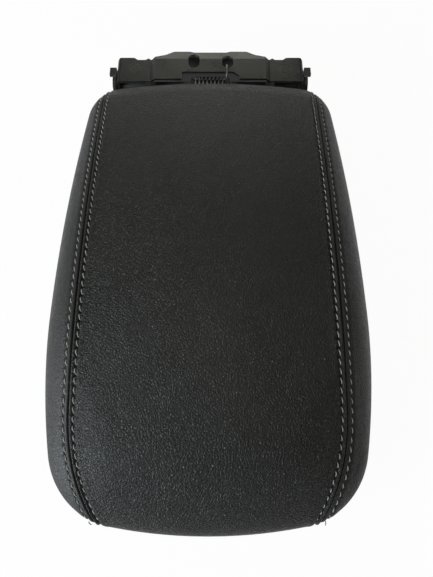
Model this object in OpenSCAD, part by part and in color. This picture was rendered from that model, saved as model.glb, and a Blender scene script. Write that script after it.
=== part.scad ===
// Car centre armrest: padded leather lid with a sprung rear hinge and a front latch.
// Shown as it rests on a table, with the hinge at its open stop.
// X is across the car, +Y points to the hinge, +Z is up. Millimetres.

/* [Padded lid] */
// Width of the lid over the leather
lid_w = 195; // [180:1:215]
// Length of the lid over the leather
lid_l = 298; // [285:1:320]
// Height of the top of the crown above the table
lid_h = 58; // [54:1:66]
// Height of the widest line round the lid
edge_z = 26; // [25:0.5:28]
// Distance of the widest place in front of the middle
widest_off = 33; // [10:1:40]
// Radius of the rear edge seen from above
rear_r = 900; // [600:10:2000]
// Radius of the rear corners seen from above
rear_corner_r = 26; // [20:1:34]
// Radius of the sides behind the widest place
side_r = 1420; // [1100:10:2500]
// Radius of the sides in front of the widest place
haunch_r = 370; // [330:5:520]
// Radius of the front corners seen from above
front_corner_r = 46; // [42:1:56]
// Radius of the front edge seen from above
front_r = 300; // [240:5:420]
// Radius of the crown along the lid
crown_long_r = 750; // [600:10:1500]
// Radius of the crown across the lid
crown_cross_r = 560; // [400:10:1200]
// Width of the rounded shoulder along the sides
side_roll = 24; // [18:1:30]
// Width of the rounded shoulder at the rear
rear_roll = 13; // [9:1:18]
// Width of the rounded shoulder at the front
front_roll = 32; // [22:1:40]

/* [Leather and foam] */
// Thickness of the leather with its backing
skin_t = 2; // [1.4:0.1:2.6]
// Distance of the seams' rear ends inwards from the lid's widest sides
seam_rear_in = 21.9; // [19:0.1:24]
// Distance of the seams inwards from the lid's widest sides, where they begin to bend
seam_front_in = 22.3; // [20:0.1:25]
// Radius of the bend of the seams at the front
seam_bend_r = 118; // [95:1:135]
// Distance of the start of that bend from the front edge
seam_bend_back = 67; // [58:1:74]
// Depth of the valley where two panels meet
seam_dip = 1.3; // [0.8:0.1:1.6]
// Width of the leather folded under the carrier
wrap_w = 14; // [10:0.5:18]
// Height of the underside of the folded leather
wrap_z = 13; // [12:0.5:14]

/* [Carrier and lower panel] */
// Wall of the moulded carrier
carrier_wall = 3; // [2.4:0.1:4]
// Thickness of the top plate of the carrier
carrier_plate = 2.5; // [2:0.1:3.5]
// Thickness of the ribs under the carrier
rib_t = 1.8; // [1.4:0.1:2.4]
// Depth of the ribs under the top plate
rib_h = 3.5; // [3:0.1:4.5]
// Distance of the lower panel from the outline of the lid
panel_inset = 11; // [9:0.5:13]
// Wall of the lower panel
panel_wall = 2.4; // [2:0.1:3]
// Distance of the lower panel's rear edge in front of the lid's rear edge
panel_rear_gap = 39; // [36:1:46]
// Depth of the shallow recess in the underside
recess_d = 3; // [1.5:0.5:4]

/* [Hinge] */
// Distance of the hinge axis behind the lid
axis_back = 9.5; // [9:0.1:11]
// Height of the hinge axis above the table
axis_z = 22.5; // [22:0.5:26]
// Diameter of the hinge pin
pin_d = 6; // [5:0.5:6]
// Running clearance of the pin in its bushes, on the radius
pin_fit = 0.05; // [0.03:0.01:0.08]
// Outer diameter of the bushes
bush_d = 9; // [8:0.1:10]
// Sheet thickness of the two arms
arm_t = 2.2; // [1.8:0.1:2.4]
// Reach of the arm tails behind the axis
arm_tail = 9.5; // [8:0.5:11]
// Reach of the lugs outside the arms
lug_w = 2.6; // [2:0.2:4]

/* [Console bracket] */
// Distance of the bracket's ends inwards from the lid's sides beside the hinge
ear_inset = 17.05; // [16.5:0.05:19]
// Sheet thickness of the bracket
bracket_t = 2; // [1.6:0.1:2.5]
// Height of the mounting pads above the hinge axis
pad_rise = 10; // [9.5:0.5:12]
// Height of the raised middle above the pads
joggle_h = 3; // [2:0.5:4]
// Width of each mounting pad
pad_w = 25.4; // [23:0.2:28]
// Width of each joggle slope
joggle_w = 3.8; // [2.5:0.1:5]
// Distance of the front edge of the pads in front of the axis
pad_front = 5; // [4.5:0.1:5.4]
// Depth of the pads from front to rear
pad_depth = 22.6; // [21:0.1:24]
// Height of the flange that is folded down behind the raised middle and the pads
flange_h = 21.5; // [14:0.5:22]
// Depth of the raised middle from front to rear
middle_depth = 25.6; // [25:0.1:26]
// Width of the spring cut-out
cutout_w = 42; // [38:0.5:48]
// Depth of the spring cut-out
cutout_d = 6.6; // [5.6:0.1:7]
// Distance of the two oblong holes from the middle
slot_x = 12.7; // [11:0.2:14]
// Width of the oblong holes
slot_w = 8.6; // [7:0.1:9.5]
// Distance of the mounting studs from the bracket's ends
stud_in = 14.2; // [12:0.1:15]
// Distance of the mounting studs behind the axis
stud_y = 7; // [6.9:0.1:8]
// Diameter of the mounting studs
stud_d = 6; // [5:1:6]
// Length of the mounting studs below the bracket
stud_l = 14; // [10:1:14]

/* [Torsion spring] */
// Diameter of the spring wire
wire_d = 1.8; // [1.2:0.1:2]
// Inner diameter of the coil
coil_id = 9.4; // [9.2:0.1:9.8]
// Distance between the coil's turns
coil_pitch = 2.95; // [2.6:0.05:3.2]
// Number of turns in the coil
coil_turns = 8; // [6:1:8]

/* [Latch] */
// Width of the latch housing
latch_w = 48; // [42:1:56]
// Length of the latch housing
latch_l = 34; // [33:0.5:38]
// Distance of the housing's front face from the front edge of the lid
latch_front = 17.6; // [16:0.2:20]
// Diameter of the latch pin
latch_pin_d = 3; // [2.5:0.1:3.4]
// Wall of the latch housing
latch_wall = 2.2; // [1.8:0.1:2.6]

/* [Hidden] */
fit = 0.3;
seat = 0.05;
seam_rear = lid_w / 2 - seam_rear_in;
seam_front = lid_w / 2 - seam_front_in;
lid_front = -lid_l / 2;
lid_rear = lid_l / 2;
widest_y = -widest_off;
axis_y = lid_rear + axis_back;
middle_front = axis_y - pad_front - 0.5;
bump_h = 1;
bracket_rear = middle_front + middle_depth + bump_h;
frame_y = -(lid_front + bracket_rear) / 2;
leather = [0.10, 0.10, 0.10];
steel_black = [0.13, 0.13, 0.12];
zinc = [0.62, 0.62, 0.60];
plastic = [0.16, 0.16, 0.17];
rubber = [0.06, 0.06, 0.06];

// Outline of the lid seen from above: six tangent arcs on each side, from the rear
// middle round to the front middle. Each arc is [centre x, centre y, radius, from, to].
function meet(a, ra, b, rb) =
    let (d = norm(b - a), k = (ra * ra - rb * rb + d * d) / (2 * d),
        h = sqrt(max(0, ra * ra - k * k)), e = (b - a) / d, m = a + e * k,
        p = m + [e[1], -e[0]] * h, q = m - [e[1], -e[0]] * h)
    p[0] > q[0] ? p : q;
function heading(v) = atan2(v[1], v[0]);
c_rear = [0, lid_rear - rear_r];
c_side = [lid_w / 2 - side_r, widest_y];
c_haunch = [lid_w / 2 - haunch_r, widest_y];
c_front = [0, lid_front + front_r];
c_rc = meet(c_rear, rear_r - rear_corner_r, c_side, side_r - rear_corner_r);
c_fc = meet(c_front, front_r - front_corner_r, c_haunch, haunch_r - front_corner_r);
a_rear = heading(c_rc - c_rear);
a_side = heading(c_rc - c_side);
a_haunch = heading(c_fc - c_haunch);
a_front = heading(c_fc - c_front);
ARCS = [[c_rear[0], c_rear[1], rear_r, 90, a_rear],
    [c_rc[0], c_rc[1], rear_corner_r, a_rear, a_side],
    [c_side[0], c_side[1], side_r, a_side, 0],
    [c_haunch[0], c_haunch[1], haunch_r, 0, a_haunch],
    [c_fc[0], c_fc[1], front_corner_r, a_haunch, a_front],
    [c_front[0], c_front[1], front_r, a_front, -90]];
ARC_STEPS = [5, 6, 7, 5, 7, 6];

// Point of the outline moved inwards by e, on arc i at normal angle t
function on_arc(i, t, e) =
    [ARCS[i][0], ARCS[i][1]] + (ARCS[i][2] - e) * [cos(t), sin(t)];
function half_outline(e) = [for (i = [0:5]) for (k = [0:ARC_STEPS[i] - 1])
    on_arc(i, ARCS[i][3] + (ARCS[i][4] - ARCS[i][3]) * k / ARC_STEPS[i], e)];
function outline(e) = let (h = half_outline(e), n = len(h))
    concat([on_arc(0, 90, e)], [for (k = [1:n - 1]) h[k]], [on_arc(5, -90, e)],
        [for (k = [n - 1:-1:1]) [-h[k][0], h[k][1]]]);

// Arc whose normal angle range holds t
function arc_of(t) = t > a_rear ? 0 : t > a_side ? 1 : t > 0 ? 2 : t > a_haunch ? 3
    : t > a_front ? 4 : 5;
function rim(t, e) = on_arc(arc_of(t), t, e);

// Distance from the outline to a point inside it
function inside(x, y) = min([for (a = ARCS)
    let (v = [abs(x) - a[0], y - a[1]], t = heading(v))
    (t <= a[3] + 0.01 && t >= a[4] - 0.01) ? a[2] - norm(v) : 1000]);

// Half width of the outline at y, and the outline's rear and front edges at x
function arc_x(a, y, e) = a[0] + sqrt(max(0, pow(a[2] - e, 2) - pow(y - a[1], 2)));
function half_width(y, e) =
    y > rim(a_rear + 0.001, e)[1] ? arc_x(ARCS[0], y, e)
    : y > rim(a_side + 0.001, e)[1] ? arc_x(ARCS[1], y, e)
    : y > widest_y ? arc_x(ARCS[2], y, e)
    : y > rim(a_haunch, e)[1] ? arc_x(ARCS[3], y, e)
    : y > rim(a_front, e)[1] ? arc_x(ARCS[4], y, e) : arc_x(ARCS[5], y, e);
function edge_y(x, e, i, j, s) =
    let (a = abs(x) < rim(i == 0 ? a_rear + 0.001 : a_front, e)[0] ? ARCS[i] : ARCS[j])
    a[1] + s * sqrt(max(0, pow(a[2] - e, 2) - pow(abs(x) - a[0], 2)));
function rear_y(x, e) = edge_y(x, e, 0, 1, 1);
function front_y(x, e) = edge_y(x, e, 5, 4, -1);

// Seam line: nearly straight, then an arc that runs off over the front corner
bend_y = lid_front + seam_bend_back;
seam_rear_y = rear_y(seam_rear, 0);
function seam_x(y) = y > bend_y
    ? seam_front + (seam_rear - seam_front) * (y - bend_y) / (seam_rear_y - bend_y)
    : seam_front - seam_bend_r + sqrt(pow(seam_bend_r, 2) - pow(y - bend_y, 2));
function seam_gap(y) = front_y(seam_x(y), 0) - y;
function seam_end(lo, hi, n) = n == 0 ? (lo + hi) / 2
    : seam_gap((lo + hi) / 2) > 0 ? seam_end((lo + hi) / 2, hi, n - 1)
    : seam_end(lo, (lo + hi) / 2, n - 1);
seam_front_y = seam_end(lid_front, bend_y, 24);

// Edge of a panel along the seam, for a surface e under the outside: near its two ends
// it moves inwards with the outline
function seam_edge(v, e) =
    let (y = seam_rear_y + (seam_front_y - seam_rear_y) * v, p = [seam_x(y), y],
        d = p - (v < 0.5 ? c_rc : c_fc))
    p - d / norm(d) * e * max(0, 1 - inside(p[0], p[1]) / 10);

// Height of the padded top, for a surface lying e under the leather's outside
function blend3(y, a, b, c) = y > widest_y
    ? b + (a - b) * pow((y - widest_y) / (lid_rear - widest_y), 6)
    : b + (c - b) * pow((widest_y - y) / (widest_y - lid_front), 3);
function crown(x, y) = lid_h - y * y / (2 * crown_long_r) - x * x / (2 * crown_cross_r);
function top_z(x, y, e) =
    let (roll = blend3(y, rear_roll, side_roll, front_roll) - e,
        q = max(0, min(1, 1 - (inside(x, y) - e) / roll)))
    edge_z + (crown(x, y) - e - edge_z) * sqrt(max(0, 1 - q * q));

// Wall under the widest line as [distance inwards, height], for the same e
function wall(e) = [[e, edge_z - 2], [0.8 + e, edge_z - 6], [2.2 + e, wrap_z + 3.2],
    [4.4 + e * 0.6, wrap_z + 0.5 + e * 0.8], [6.5 + e * 0.4, wrap_z + e],
    [wrap_w, wrap_z + e]];

// Closed sheet between two grids of points, the outer one first
module sheet(outer, inner) {
    rows = len(outer);
    cols = len(outer[0]);
    all = concat([for (r = outer) for (p = r) p], [for (r = inner) for (p = r) p]);
    m = rows * cols;
    function id(r, c) = r * cols + c;
    tops = [for (r = [0:rows - 2]) for (c = [0:cols - 2])
        each [[id(r, c), id(r, c + 1), id(r + 1, c + 1)],
            [id(r, c), id(r + 1, c + 1), id(r + 1, c)]]];
    lows = [for (f = tops) [f[2] + m, f[1] + m, f[0] + m]];
    rim_ids = concat([for (c = [0:cols - 1]) id(0, c)],
        [for (r = [1:rows - 1]) id(r, cols - 1)],
        [for (c = [cols - 2:-1:0]) id(rows - 1, c)],
        [for (r = [rows - 2:-1:1]) id(r, 0)]);
    n = len(rim_ids);
    sides = [for (k = [0:n - 1])
        let (a = rim_ids[k], b = rim_ids[(k + 1) % n])
        each [[a, a + m, b + m], [a, b + m, b]]];
    polyhedron(all, concat(tops, lows, sides));
}

module in_frame() {
    translate([0, frame_y, 0]) children();
}

function ease(k, n) = 0.5 - 0.5 * cos(180 * k / n);

// Lowering of the leather's outside at distance s from a seam
function dip(s) = seam_dip * pow(max(0, 1 - s / 2.2), 2);

// Half the gap between two panels at a seam
panel_gap = 3 * seat;

// Centre panel: columns across between the seams, rows over the rear wall, the top
// and the front wall
centre_cols = [-1, -0.985, -0.965, -0.86, -0.7, -0.5, -0.25, 0,
    0.25, 0.5, 0.7, 0.86, 0.965, 0.985, 1];
top_rows = 22;
function centre_x(u, v, e) = u * (seam_edge(v, e)[0] - panel_gap);
function centre_top(u, k, e) =
    let (v = ease(k, top_rows), x = centre_x(u, v, e), y0 = seam_edge(0, e)[1],
        y1 = seam_edge(1, e)[1], yr = rear_y(centre_x(u, 0, e), e),
        yf = front_y(centre_x(u, 1, e), e),
        y = yr + (yf - yr) * (seam_edge(v, e)[1] - y0) / (y1 - y0),
        s = (1 - abs(u)) * seam_edge(v, e)[0])
    [x, y, top_z(x, y, e) - (e == 0 ? dip(s) : 0)];
function centre_wall(u, w, rear) = let (x = centre_x(u, rear ? 0 : 1, w[0]))
    [x, rear ? rear_y(x, w[0]) : front_y(x, w[0]), w[1]];
function centre_grid(e) = let (w = wall(e), n = len(w)) concat(
    [for (k = [n - 1:-1:0]) [for (u = centre_cols) centre_wall(u, w[k], true)]],
    [for (k = [0:top_rows]) [for (u = centre_cols) centre_top(u, k, e)]],
    [for (k = [0:n - 1]) [for (u = centre_cols) centre_wall(u, w[k], false)]]);

module cover_centre_panel() {
    color(leather) in_frame() sheet(centre_grid(0), centre_grid(skin_t));
}

// Side panel: stations along the seam and the outline, columns from the seam out
// over the shoulder and down the wall
side_steps = 30;
side_cols = [0, 0.08, 0.2, 0.45, 0.7, 0.88, 1];
function side_angle(k) =
    let (y = seam_rear_y + (seam_front_y - seam_rear_y) * ease(k, side_steps))
    y > rim(a_side + 0.001, 0)[1] ? asin((y - c_rc[1]) / rear_corner_r)
    : y > widest_y ? asin((y - widest_y) / side_r)
    : y > rim(a_haunch, 0)[1] ? asin((y - widest_y) / haunch_r)
    : asin((y - c_fc[1]) / front_corner_r);
function side_top(k, s, e) =
    let (a = seam_edge(ease(k, side_steps), e) + [panel_gap, 0], b = rim(side_angle(k), e),
        spread = max(0, 0.6 - 0.5 * norm(b - a)), p = a + (b - a) * s)
    [p[0] + spread * s, p[1], top_z(p[0], p[1], e) - (e == 0 ? dip(s * norm(b - a)) : 0)];
function side_wall(k, w) = let (p = rim(side_angle(k), w[0]))
    [p[0] + panel_gap, p[1], w[1]];
function side_row(k, e) = concat([for (s = side_cols) side_top(k, s, e)],
    [for (w = wall(e)) side_wall(k, w)]);
function side_grid(e) = [for (k = [1:side_steps - 1]) side_row(k, e)];

module side_panel() {
    color(leather) in_frame() sheet(side_grid(0), side_grid(skin_t));
}

module cover_right_panel() {
    side_panel();
}

module cover_left_panel() {
    mirror([1, 0, 0]) side_panel();
}

// Foam: its top follows the leather, its underside is flat on the carrier
foam_rows = 26;
foam_cols = 16;
foam_e = skin_t + 2 * fit;
foam_z = edge_z - 2;
function foam_point(k, c, flat) =
    let (y0 = lid_rear - foam_e - 0.4, y1 = lid_front + foam_e + 0.4,
        y = y0 + (y1 - y0) * ease(k, foam_rows), u = -1 + 2 * ease(c, foam_cols),
        x = u * half_width(y, foam_e))
    [x, y, flat ? foam_z : top_z(x, y, foam_e)];
function foam_grid(flat) = [for (k = [0:foam_rows]) [for (c = [0:foam_cols])
    foam_point(k, c, flat)]];

module foam_pad() {
    color([0.75, 0.72, 0.62]) in_frame() sheet(foam_grid(false), foam_grid(true));
}

// Moulded carrier: a ribbed tray, open downwards, that the foam and leather wrap
carrier_e = skin_t + 4;
carrier_low = wrap_z + skin_t + fit;
carrier_top = foam_z - fit;
flange_w = wrap_w - 1;
rib_low = carrier_top - carrier_plate - rib_h;
boss_d = 9;
ear_level = 20;
screw_d = 3.8;
arm_screw_d = 4.8;
arm_head_d = 9;
panel_rear = lid_rear - panel_rear_gap;
post_edge = [lid_w / 2 - 35.5, lid_w / 2 - 29.5, lid_w / 2 - 41.5];
post_row = [panel_rear - 34, -22, lid_front + 47];
panel_spots = [for (k = [0:2]) for (s = [-1, 1]) [s * post_edge[k], post_row[k]]];
ear_out = half_width(lid_rear - ear_level, 0) - ear_inset;
joggle_x = ear_out - pad_w;
stud_x = ear_out - stud_in;
bush_flange = 0.6;
ear_play = 0.1;
arm_in = ear_out + bush_flange + ear_play;
arm_out = arm_in + arm_t;
arm_flange_y = lid_rear - 36;
arm_flange_l = 17;
arm_relief = 4.6;
leg_end = arm_flange_y + arm_flange_l - arm_relief;
arm_flange_x = ear_out - 28.6;
arm_screw_x = [10.2, 22];
arm_screw_y = arm_flange_l / 2 + 0.3;
arm_spots = [for (s = [-1, 1]) for (d = arm_screw_x)
    [s * (arm_flange_x + d), arm_flange_y + arm_screw_y]];
anchor_x = -coil_turns * coil_pitch / 2 - seat;

module plate(e, z0, z1) {
    translate([0, 0, z0]) linear_extrude(z1 - z0) polygon(outline(e));
}

module carrier_rib_across(y) {
    half = half_width(y, carrier_e + 1);
    translate([-half, y - rib_t / 2, rib_low]) cube([2 * half, rib_t, carrier_top - rib_low - 1]);
}

module carrier_rib_along(x) {
    y0 = front_y(x, carrier_e + 1);
    y1 = rear_y(x, carrier_e + 1);
    translate([x - rib_t / 2, y0, rib_low]) cube([rib_t, y1 - y0, carrier_top - rib_low - 1]);
}

module carrier_boss(p, d) {
    translate([p[0], p[1], carrier_low]) cylinder(h = carrier_top - carrier_low - 1, d = d, $fn = 32);
}

pilot_depth = 5.6;
module pilot(p, d) {
    translate([p[0], p[1], carrier_low - 1]) cylinder(h = pilot_depth + 1, d = d + 2 * seat, $fn = 32);
}

module lid_carrier() {
    color(plastic) in_frame() difference() {
        union() {
            difference() {
                plate(carrier_e, carrier_low, carrier_top);
                plate(carrier_e + carrier_wall, carrier_low - 1, carrier_top - carrier_plate);
            }
            difference() {
                plate(carrier_e + 1, carrier_low, carrier_low + carrier_wall);
                plate(carrier_e + flange_w, carrier_low - 1, carrier_low + carrier_wall + 1);
            }
            for (k = [-3:2]) carrier_rib_across(k * 36 + 12);
            for (s = [-1, 1]) for (x = [18, lid_w / 2 - 43.5]) carrier_rib_along(s * x);
            for (p = panel_spots) carrier_boss(p, boss_d);
            for (p = arm_spots) carrier_boss(p, boss_d + 2);
            translate([anchor_x - 4, arm_flange_y, anchor_low])
                cube([8, arm_flange_l - 4, carrier_top - anchor_low - 1]);
        }
        for (p = panel_spots) pilot(p, screw_d);
        for (p = arm_spots) pilot(p, arm_screw_d);
        translate([anchor_x, arm_flange_y - 1, leg_z]) rotate([-90, 0, 0])
            cylinder(h = arm_flange_l + 2, d = wire_d + 2 * seat, $fn = 24);
    }
}

// Lower panel: a shallow tray screwed up under the carrier, with a straight rear edge
panel_low = 1;
panel_top = wrap_z - fit;
post_d = 12;
post_bore = 8.4;
head_seat = 7;
latch_y0 = lid_front + latch_front;
latch_y1 = latch_y0 + latch_l;
buffer_d = 12;
stem_d = 5;
buffer_edge = [lid_w / 2 - 31.5, lid_w / 2 - 51.5];
buffer_row = [panel_rear - 12, lid_front + 26];
buffer_spots = [for (k = [0:1]) for (s = [-1, 1]) [s * buffer_edge[k], buffer_row[k]]];

module panel_plan(e, z0, z1) {
    intersection() {
        plate(e, z0, z1);
        translate([-lid_w, lid_front - 1, z0 - 1])
            cube([2 * lid_w, panel_rear - (e - panel_inset) - lid_front + 1, z1 - z0 + 2]);
    }
}

module rounded_pocket(w, l, h, r) {
    linear_extrude(h) union() {
        square([w - 2 * r, l], center = true);
        square([w, l - 2 * r], center = true);
        for (x = [-1, 1]) for (y = [-1, 1])
            translate([x * (w / 2 - r), y * (l / 2 - r)]) circle(r, $fn = 40);
    }
}

module inner_panel() {
    recess_y0 = latch_y1 + 12;
    recess_l = panel_rear - 22 - recess_y0;
    color(plastic) in_frame() difference() {
        union() {
            difference() {
                panel_plan(panel_inset, panel_low, panel_top);
                panel_plan(panel_inset + panel_wall, panel_low + panel_wall, panel_top + 1);
            }
            translate([0, recess_y0 + recess_l / 2, panel_low + 1])
                rounded_pocket(2 * (50 + panel_wall), recess_l + 2 * panel_wall,
                    recess_d + panel_wall - 1, 14 + panel_wall);
            for (p = panel_spots) translate([p[0], p[1], panel_low + 1])
                cylinder(h = carrier_low - seat - panel_low - 1, d = post_d, $fn = 40);
            for (p = buffer_spots) translate([p[0], p[1], panel_low + 1])
                cylinder(h = 5, d = stem_d + 5, $fn = 32);
            translate([-latch_w / 2 - latch_wall, latch_y0 - latch_wall, panel_low + 1])
                cube([latch_w + 2 * latch_wall, latch_l + 2 * latch_wall, panel_top - panel_low - 1]);
        }
        translate([0, recess_y0 + recess_l / 2, panel_low - 1])
            rounded_pocket(100, recess_l, recess_d + 1, 14);
        for (p = panel_spots) translate([p[0], p[1], panel_low - 1]) {
            cylinder(h = head_seat + 1, d = post_bore, $fn = 40);
            cylinder(h = carrier_low, d = screw_d + 0.6, $fn = 32);
        }
        for (p = buffer_spots) translate([p[0], p[1], panel_low - 1])
            cylinder(h = 8, d = stem_d + 2 * seat, $fn = 32);
        translate([-latch_w / 2, latch_y0, panel_low - 1])
            cube([latch_w, latch_l, panel_top - panel_low + 2]);
    }
}

// Pan head screw pointing up, with a cross recess in its head
head_h = 2.4;
cross_w = 1.2;
module pan_screw(p, d, head_d, head_z, top) {
    cross_l = head_d * 0.6;
    translate([p[0], p[1], head_z]) difference() {
        union() {
            cylinder(h = head_h, d = head_d, $fn = 32);
            translate([0, 0, head_h - 0.4]) cylinder(h = top - head_z - head_h + 0.4, d = d, $fn = 32);
        }
        translate([-cross_w / 2, -cross_l / 2, -1]) cube([cross_w, cross_l, 2.2]);
        translate([-cross_l / 2, -cross_w / 2, -1]) cube([cross_l, cross_w, 2.2]);
    }
}

module inner_panel_screws() {
    color(steel_black) in_frame() for (p = panel_spots)
        pan_screw(p, screw_d, post_bore - 0.8, panel_low + head_seat - head_h, carrier_low + pilot_depth - 0.6);
}

module buffer(k) {
    p = buffer_spots[k];
    color(rubber) in_frame() translate([p[0], p[1], 0]) union() {
        cylinder(h = panel_low, d = buffer_d, $fn = 40);
        cylinder(h = panel_low + 7, d = stem_d, $fn = 32);
        translate([0, 0, panel_low + 6 + seat]) cylinder(h = 1.6, d = stem_d + 1.6, $fn = 32);
    }
}

module buffer_rear_left() {
    buffer(0);
}

module buffer_rear_right() {
    buffer(1);
}

module buffer_front_left() {
    buffer(2);
}

module buffer_front_right() {
    buffer(3);
}

// Latch: an open-bottomed housing, a finger lever with a hook, its pin and its spring
bezel_w = latch_w - 2 * seat;
bezel_l = latch_l - 2 * seat;
bezel_y0 = latch_y0 + seat;
bezel_top = panel_top - seat;
latch_py = latch_y1 - 12;
latch_pz = 7.4;
lever_w = bezel_w - 2 * latch_wall - 1;
paddle_y0 = latch_y0 + latch_wall + 1.4;
paddle_t = 2.4;
paddle_z = 2.2;
hook_w = 12;

module latch_bezel() {
    color(plastic) in_frame() difference() {
        translate([-bezel_w / 2, bezel_y0, panel_low])
            cube([bezel_w, bezel_l, bezel_top - panel_low]);
        translate([-bezel_w / 2 + latch_wall, bezel_y0 + latch_wall, panel_low - 1])
            cube([bezel_w - 2 * latch_wall, bezel_l - 2 * latch_wall,
                bezel_top - panel_low - 1.6 + 1]);
        translate([-bezel_w, latch_py, latch_pz]) rotate([0, 90, 0])
            cylinder(h = 2 * bezel_w, d = latch_pin_d + 2 * seat, $fn = 32);
    }
}

module latch_pin() {
    color(zinc) in_frame() translate([-bezel_w / 2 + 0.2, latch_py, latch_pz])
        rotate([0, 90, 0]) cylinder(h = bezel_w - 0.4, d = latch_pin_d, $fn = 32);
}

module latch_lever() {
    color(plastic) in_frame() difference() {
        union() {
            translate([-lever_w / 2, paddle_y0, paddle_z])
                cube([lever_w, latch_py - paddle_y0 - 2.4, paddle_t]);
            for (s = [-1, 1]) translate([s * (lever_w / 2 - 3.5) - 2.5, 0, 0]) union() {
                translate([0, latch_py, latch_pz]) rotate([0, 90, 0])
                    cylinder(h = 5, d = latch_pin_d + 3.6, $fn = 32);
                translate([0, latch_py - 7, paddle_z]) cube([5, 7, latch_pz - paddle_z]);
            }
            translate([-hook_w / 2, latch_py, latch_pz]) rotate([0, 90, 0])
                cylinder(h = hook_w, d = latch_pin_d + 3.6, $fn = 32);
            translate([-hook_w / 2, latch_py - 7, paddle_z])
                cube([hook_w, 7, latch_pz - paddle_z]);
            translate([-hook_w / 2, latch_py - 3, panel_low + 0.2]) rotate([90, 0, 90])
                linear_extrude(hook_w) polygon([[0, 0], [3.6, 0], [6, 1.8], [6, 2.6],
                    [3.4, 2.6], [3.4, 6], [0, 6]]);
            for (k = [0:3]) translate([-lever_w / 2, paddle_y0 + 1 + k * 2.6, paddle_z - 0.5])
                cube([lever_w, 1, 1]);
        }
        translate([-bezel_w, latch_py, latch_pz]) rotate([0, 90, 0])
            cylinder(h = 2 * bezel_w, d = latch_pin_d + 2 * seat, $fn = 32);
    }
}

// Swept round wire along a list of points whose run is never along X
function unit(v) = v / norm(v);
function heading3(p, k) = unit(p[min(len(p) - 1, k + 1)] - p[max(0, k - 1)]);
function ring(p, k, d, sides) =
    let (t = heading3(p, k), a = unit([1, 0, 0] - t * t[0]), b = cross(t, a))
    [for (s = [0:sides - 1]) p[k] + (a * cos(360 * s / sides) + b * sin(360 * s / sides)) * d / 2];
module wire(p, d, sides) {
    n = len(p);
    points = [for (k = [0:n - 1]) each ring(p, k, d, sides)];
    skin = [for (k = [0:n - 2]) for (s = [0:sides - 1])
        let (t = (s + 1) % sides, a = k * sides)
        each [[a + s, a + t, a + sides + t], [a + s, a + sides + t, a + sides + s]]];
    ends = [[for (s = [sides - 1:-1:0]) s], [for (s = [0:sides - 1]) (n - 1) * sides + s]];
    polyhedron(points, concat(skin, ends));
}
function coil_path(x0, y, z, r, pitch, from, turns, steps) = [for (k = [0:turns * steps])
    let (a = from - 360 * k / steps) [x0 + pitch * k / steps, y + r * cos(a), z + r * sin(a)]];

module latch_spring() {
    r = latch_pin_d / 2 + 0.9;
    x0 = hook_w / 2 + 1.2;
    coil = coil_path(x0, latch_py, latch_pz, r, 1, 180, 4, 12);
    color(zinc) in_frame() wire(concat([[x0, latch_py - 6, bezel_top - 2],
        [x0, latch_py - 3.4, latch_pz + 1.6], [x0, latch_py - r - 0.2, latch_pz - 0.6]], coil,
        [[x0 + 4, latch_py - r - 0.6, latch_pz + 0.5],
        [x0 + 4, latch_py - r - 3, latch_pz + 0.2], [x0 + 4, latch_py - r - 5.4, paddle_z + paddle_t + 0.7]]),
        0.7, 6);
}

// Hinge arms: stamped steel, screwed under the carrier. The outer leg dips under the
// leather and rises to the hinge, the inner tongue rises to carry the stop buffer.
under_z = wrap_z - 0.5;
arm_flange_top = carrier_low - seat;
arm_flange_low = arm_flange_top - arm_t;
tongue_w = 5;
tongue_y = lid_rear + 0.7;
tongue_top = axis_z + pad_rise - 0.4;
stop_x = arm_flange_x + tongue_w / 2;
boss_r = axis_back - 0.6;

module arm_leg() {
    translate([arm_in, 0, 0]) rotate([90, 0, 90]) linear_extrude(arm_t) difference() {
        union() {
            translate([axis_y, axis_z]) circle(boss_r - 0.4, $fn = 64);
            polygon([[arm_flange_y, arm_flange_low - 5], [arm_flange_y + 6, arm_flange_low - 7.8],
                [lid_rear + 2, under_z - 7.5], [axis_y + 5.2, axis_z - 6.6],
                [axis_y + arm_tail, axis_z + 0.5], [axis_y + arm_tail, axis_z + 8.5],
                [axis_y + arm_tail - 7, axis_z + 8.5], [axis_y + 2, axis_z + boss_r - 1],
                [axis_y - boss_r + 0.4, axis_z], [lid_rear + 1.2, under_z],
                [leg_end, under_z], [leg_end, arm_flange_top],
                [arm_flange_y, arm_flange_top]]);
        }
        translate([axis_y, axis_z]) circle(d = bush_d + 2 * seat, $fn = 64);
    }
}

module arm() {
    union() {
        arm_leg();
        translate([arm_flange_x, arm_flange_y, arm_flange_low]) difference() {
            union() {
                cube([arm_in - 2 - arm_flange_x, arm_flange_l, arm_t]);
                cube([arm_in + 1 - arm_flange_x, arm_flange_l - arm_relief, arm_t]);
            }
            for (d = arm_screw_x) translate([d, arm_screw_y, -1])
                cylinder(h = arm_t + 2, d = arm_screw_d + 0.6, $fn = 32);
        }
        translate([arm_flange_x, arm_flange_y + arm_flange_l - 3, under_z - arm_t])
            cube([tongue_w, 3, arm_flange_low + 1 - under_z + arm_t]);
        translate([arm_flange_x, arm_flange_y + arm_flange_l - 3, under_z - arm_t])
            cube([tongue_w, tongue_y + arm_t - arm_flange_y - arm_flange_l + 3, arm_t]);
        translate([arm_flange_x, tongue_y, under_z - arm_t])
            cube([tongue_w, arm_t, tongue_top - 1.4 - under_z + arm_t]);
        translate([arm_in, axis_y + arm_tail - 7, axis_z + 8.5 - arm_t])
            cube([arm_t + lug_w, 7, arm_t]);
    }
}

module hinge_arm_right() {
    color(steel_black) in_frame() arm();
}

module hinge_arm_left() {
    color(steel_black) in_frame() mirror([1, 0, 0]) arm();
}

module arm_screws() {
    color(zinc) in_frame() for (p = arm_spots)
        pan_screw(p, arm_screw_d, arm_head_d, arm_flange_low - head_h, carrier_low + pilot_depth - 0.6);
}

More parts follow.
